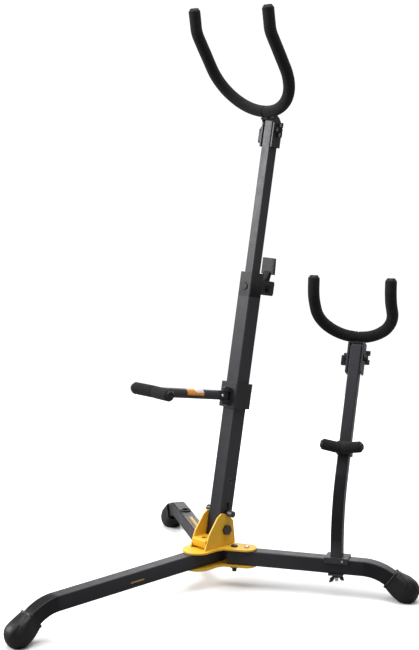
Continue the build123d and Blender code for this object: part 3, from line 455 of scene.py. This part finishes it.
def build_foam():
    """All foam sleeves, each in the place of its plain CAD solid."""
    for side, name in ((-1, "left"), (1, "right")):
        path = yoke_half(YOKE_PIVOT, ALONG, BACK, RIGHT, MAIN_YOKE, side)
        foam_sleeve(f"yoke_sleeve_{name}", path, FOAM_R, "yoke", [f"yoke_foam_{name}"], seed=side)
        path = yoke_half(ALTO_PIVOT, ALTO_ALONG, ALTO_BACK, ALTO_RIGHT, ALTO_YOKE, side)
        foam_sleeve(f"small_yoke_sleeve_{name}", path, FOAM_R, "alto_yoke", ["alto_yoke_foam"], seed=2 + side)
        start = HINGE + BACK * -0.198 + ALONG * ARM_S
        end = HINGE + BACK * -0.204 + ALONG * ARM_S + RIGHT * side * 0.045
        foam_sleeve(f"cradle_sleeve_{name}", [start, start.lerp(end, 0.5), end], FOAM_R, "arm",
                    ["cradle_foam"], seed=4 + side)
        corner = ALTO_PIVOT - ALTO_ALONG * ALTO_PIVOT_S
        start = corner - ALTO_BACK * 0.024 + ALTO_ALONG * 0.1017
        end = start - ALTO_BACK * 0.007 + ALTO_ALONG * 0.004 + ALTO_RIGHT * side * 0.035
        foam_sleeve(f"small_rest_sleeve_{name}", [start, start.lerp(end, 0.5), end], REST_FOAM_R, "alto_rest",
                    ["alto_rest_foam"], seed=6 + side)


build_foam()


# ---- rubber boots ----

BOOT_RINGS = 64
BOOT_AROUND = 96


def superellipse(turn, power):
    """Unit superellipse point, x across and y up."""
    x, y = cos(turn), sin(turn)
    size = (abs(x) ** power + abs(y) ** power) ** (-1 / power)
    return x * size, y * size


def step(low, high, value):
    t = min(1.0, max(0.0, (value - low) / (high - low)))
    return t * t * (3 - 2 * t)


def teardrop(share):
    """Half width of the pad on a boot: narrow at the mouth, widest over the toe, round in front."""
    if share < 0.08 or share > 0.97:
        return 0.0
    if share < 0.62:
        return 0.0045 + 0.0085 * step(0.08, 0.62, share)
    return 0.013 * sqrt(1 - ((share - 0.62) / 0.35) ** 2)


def boot(leg):
    """A moulded boot: a rolled mouth, a bulging body, a raised teardrop pad over the toe, a flat sole."""
    azimuth, bend, body = LEGS[leg]
    out = Vector((cos(radians(azimuth)), sin(radians(azimuth)), 0))
    run = bend + BEND_R * sin(BEND_ANGLE)
    height = LEG_Z - BEND_R * (1 - cos(BEND_ANGLE))
    way = out * cos(BEND_ANGLE) - Vector((0, 0, sin(BEND_ANGLE)))
    up = out * sin(BEND_ANGLE) + Vector((0, 0, cos(BEND_ANGLE)))
    across = way.cross(up)
    mouth = HUB + out * run + Vector((0, 0, height)) + way * BOOT_START
    toe = TOE_RUN - BOOT_START
    length = toe + TOE_R
    points = []
    for i in range(BOOT_RINGS + 1):
        t = i / BOOT_RINGS
        u = length * (1 - (1 - t) ** 1.35)
        swell = step(0.0, 1.0, min(1.0, u / toe))
        half_w = BOOT_W / 2 + (TOE_R - BOOT_W / 2) * swell
        half_h = BOOT_H / 2 + (TOE_R - BOOT_H / 2) * swell
        shrink = sqrt(max(0.0, 1 - (max(0.0, u - toe) / TOE_R) ** 2))
        power = 5.0 - 2.9 * step(0.0, 1.0, min(1.0, u / toe))
        lip = 0.0008 * exp(-((u - 0.0018) / 0.0012) ** 2) - 0.0004 * exp(-((u - 0.0046) / 0.001) ** 2)
        pad_w = teardrop(u / length)
        for k in range(BOOT_AROUND):
            turn = 2 * pi * (k + 0.5) / BOOT_AROUND
            x, y = superellipse(turn, power)
            side_x = x * half_w * shrink
            rise_y = y * half_h * shrink
            pad = step(0.0, 0.001, pad_w - abs(side_x)) * step(0.15, 0.4, y)
            outward = (across * x + up * y).normalized()
            low = step(0.25, 0.8, -y) * step(0.45, 0.95, t)
            grip = 0.0004 * sin(2 * pi * u / 0.0042) * low * step(0.3, 0.7, shrink)
            notch = abs(u - 0.036 + 0.55 * abs(rise_y + 0.004))
            on_side = step(0.55, 0.8, abs(x))
            chevron = 0.0006 * exp(-(notch / 0.0014) ** 2) * on_side * step(0.2, 0.5, 1 - abs(y))
            lift = (lip + 0.0018 * pad + grip + chevron) * min(1.0, shrink * 1.6)
            place = mouth + way * u + across * side_x + up * rise_y + outward * lift
            place.z = max(place.z, 0.0)
            points.append(place)
    around = BOOT_AROUND
    faces = ring_faces(BOOT_RINGS + 1, around)
    faces.append(tuple(BOOT_RINGS * around + k for k in range(around)))
    inner = len(points)
    for depth, scale in ((0.0, 0.93), (0.0, 0.87), (0.006, 0.86)):
        for k in range(around):
            x, y = superellipse(2 * pi * (k + 0.5) / around, 7.0)
            sideways = across * (x * BOOT_W / 2 * scale)
            points.append(mouth + way * depth + sideways + up * (y * BOOT_H / 2 * scale))
    for k in range(around):
        n = (k + 1) % around
        faces.append((n, k, inner + k, inner + n))
        faces.append((inner + n, inner + k, inner + around + k, inner + around + n))
        faces.append((inner + around + n, inner + around + k, inner + 2 * around + k, inner + 2 * around + n))
    faces.append(tuple(inner + 2 * around + k for k in reversed(range(around))))
    return mesh_piece(f"{leg}_boot_moulding", points, faces, RUBBER, body, [f"{leg}_boot"])


for leg_name in LEGS:
    boot(leg_name)


# ---- printed bands ----

FILM_LIFT = 0.00002
FILM_TOP = 0.00012
ARM_BAND_START = -0.128
ARM_BAND_SPLIT = -0.108
ARM_BAND_END = -0.088
BAND_TURNS = (-12, 22, 78)
REAR_BAND_REACH = 0.1
REAR_BAND_LENGTH = 0.085
REAR_STRIPES = ((-0.0088, 0.0009), (-0.0045, 0.0085), (0.0079, 0.0009))


def wrapped_band(name, low_w, high_w, low_turn, high_turn, radius, material):
    """A thin film wrapped part of the way round the arm tube, between two places along it."""
    rows, columns = 24, 18
    points = []
    for layer in (0.0, FILM_TOP):
        for i in range(rows + 1):
            turn = radians(low_turn + (high_turn - low_turn) * i / rows)
            out = RIGHT * cos(turn) + ALONG * sin(turn)
            for j in range(columns + 1):
                w = low_w + (high_w - low_w) * j / columns
                points.append(HINGE + BACK * w + ALONG * ARM_S + out * (radius + layer))
    return film_piece(name, points, rows, columns, material, "arm")


def film_piece(name, points, rows, columns, material, body):
    """Closes two layers of grid points into one thin solid."""
    layer = (rows + 1) * (columns + 1)
    faces = []
    for i in range(rows):
        for j in range(columns):
            a = i * (columns + 1) + j
            quad = (a, a + 1, a + columns + 2, a + columns + 1)
            faces.append(quad)
            faces.append(tuple(layer + p for p in reversed(quad)))
    rim = [j for j in range(columns + 1)]
    rim += [i * (columns + 1) + columns for i in range(1, rows + 1)]
    rim += [rows * (columns + 1) + j for j in range(columns - 1, -1, -1)]
    rim += [i * (columns + 1) for i in range(rows - 1, 0, -1)]
    for a, b in zip(rim, rim[1:] + rim[:1]):
        faces.append((b, a, layer + a, layer + b))
    return mesh_piece(name, points, faces, material, body)


def flat_band(name, corner, along, across, length, width, body, material):
    """A thin printed stripe lying on a flat face."""
    out = along.cross(across).normalized()
    rows, columns = 2, 24
    points = []
    for layer in (FILM_LIFT, FILM_TOP):
        for i in range(rows + 1):
            for j in range(columns + 1):
                forward = along * (length * j / columns)
                points.append(corner + forward + across * (width * i / rows) + out * layer)
    return film_piece(name, points, rows, columns, material, body)


def build_bands():
    """Plain bands where the real stand carries printing: none of them bears a mark."""
    orange = printed_film("band_orange", (0.86, 0.33, 0.03), (0.6, 0.2, 0.02))
    white = printed_film("band_white", (0.75, 0.74, 0.78), (0.5, 0.49, 0.52))
    gold = printed_film("band_gold", (0.52, 0.31, 0.07), (0.2, 0.13, 0.05))
    low, middle, high = BAND_TURNS
    radius = ARM_R + FILM_LIFT
    wrapped_band("arm_band_orange", ARM_BAND_START, ARM_BAND_SPLIT, low, high, radius, orange)
    wrapped_band("arm_band_white", ARM_BAND_SPLIT, ARM_BAND_END, middle, high, radius, white)
    wrapped_band("arm_band_orange_low", ARM_BAND_SPLIT, ARM_BAND_END, low, middle, radius, orange)
    out = Vector((cos(radians(LEFT_AZIMUTH)), sin(radians(LEFT_AZIMUTH)), 0))
    across = Vector((-out.y, out.x, 0))
    for k, (shift, width) in enumerate(REAR_STRIPES):
        corner = HUB + out * REAR_BAND_REACH + Vector((0, 0, LEG_TOP)) + across * shift
        flat_band(f"rear_leg_band_{k + 1}", corner, out, across, REAR_BAND_LENGTH, width, "left_leg", gold)
    corner = HUB + Vector((LEG_W / 2, -0.176, LEG_Z - 0.0012))
    flat_band("front_leg_band", corner, Vector((0, -1, 0)), Vector((0, 0, -1)), 0.03, 0.0024, "base", gold)


build_bands()


# ---- weld beads ----

def weld_bead(name, start, end, up, body, material, radius=0.0013):
    """A short rippled fillet of weld between two points."""
    way = (end - start).normalized()
    side = way.cross(up).normalized()
    rings, around = 28, 12
    points = []
    for i in range(rings + 1):
        t = i / rings
        size = radius * (0.35 + 0.65 * sin(pi * min(max(t, 0.02), 0.98)) ** 0.4)
        size *= 1 + 0.12 * sin(2 * pi * t * 9)
        centre = start.lerp(end, t) + up * (0.12 * radius * noise.noise(start * 90 + Vector((t * 6, 0, 0))))
        for k in range(around):
            turn = 2 * pi * k / around
            points.append(centre + side * (size * cos(turn)) + up * (size * sin(turn)))
    faces = ring_faces(rings + 1, around)
    faces.append(tuple(reversed(range(around))))
    faces.append(tuple(rings * around + k for k in range(around)))
    return mesh_piece(name, points, faces, material, body)


def build_welds():
    """Welds that hold the bracket's ears to the upper plate."""
    up = Vector((0, 0, 1))
    for side, name in ((1, "right"), (-1, "left")):
        for k, y in enumerate((-0.020, 0.016)):
            start = HUB + Vector((side * 0.0199, y, 0.0713))
            weld_bead(f"{name}_ear_weld_{k + 1}", start, start + Vector((0, 0.013, 0)), up, "base", YELLOW)


build_welds()


# ---- studio ----

FLOOR_R = 1.7
FLOOR_SIDES = 96
WORLD_LIGHT = 0.36
WORLD_SEEN = 1.05
CAMERA_LENS = 79.512
CAMERA_PLACE = Vector((1.78193, -1.72029, 0.88200))
CAMERA_AIM = Vector((-0.71162, 0.68313, -0.16411))


def area_light(name, place, target, size_x, size_y, power):
    data = bpy.data.lights.new(name, "AREA")
    data.shape = "RECTANGLE"
    data.size = size_x
    data.size_y = size_y
    data.energy = power
    lamp = bpy.data.objects.new(name, data)
    bpy.context.scene.collection.objects.link(lamp)
    lamp.location = place
    lamp.rotation_euler = (Vector(target) - Vector(place)).to_track_quat("-Z", "Y").to_euler()
    return lamp


def build_studio():
    """A pale floor, a white surround, and large soft lights."""
    turns = [2 * pi * k / FLOOR_SIDES for k in range(FLOOR_SIDES)]
    rim = [(FLOOR_R * cos(turn), FLOOR_R * sin(turn), 0) for turn in turns]
    data = bpy.data.meshes.new("floor")
    data.from_pydata(rim, [], [tuple(range(FLOOR_SIDES))])
    data.materials.append(floor_paint())
    floor = bpy.data.objects.new("floor", data)
    bpy.context.scene.collection.objects.link(floor)
    world = bpy.data.worlds.new("studio")
    world.use_nodes = True
    tree = world.node_tree
    seen = tree.nodes.new("ShaderNodeLightPath").outputs["Is Camera Ray"]
    strength = tree.nodes.new("ShaderNodeMapRange")
    strength.inputs["To Min"].default_value = WORLD_LIGHT
    strength.inputs["To Max"].default_value = WORLD_SEEN
    tree.links.new(seen, strength.inputs["Value"])
    tree.links.new(strength.outputs["Result"], tree.nodes["Background"].inputs["Strength"])
    tree.nodes["Background"].inputs["Color"].default_value = (1, 1, 1, 1)
    bpy.context.scene.world = world
    area_light("key_left_front", (-2.1, -2.0, 1.75), (0, 0.1, 0.7), 1.6, 1.3, 120)
    area_light("top", (0.1, 0.1, 3.2), (0, 0, 0), 3.0, 3.0, 120)
    area_light("back_left", (-1.5, 2.6, 1.3), (0, 0, 0.3), 2.6, 1.8, 22)


def build_camera():
    """Camera at the viewing angle of a product shot, from the right and in front."""
    data = bpy.data.cameras.new("camera")
    data.sensor_width = 36.0
    data.sensor_fit = "AUTO"
    data.lens = CAMERA_LENS
    data.clip_end = 50
    camera = bpy.data.objects.new("camera", data)
    bpy.context.scene.collection.objects.link(camera)
    camera.location = HUB + CAMERA_PLACE
    camera.rotation_euler = CAMERA_AIM.to_track_quat("-Z", "Y").to_euler()
    bpy.context.scene.camera = camera


build_studio()
build_camera()
bpy.context.scene.view_settings.view_transform = "Standard"
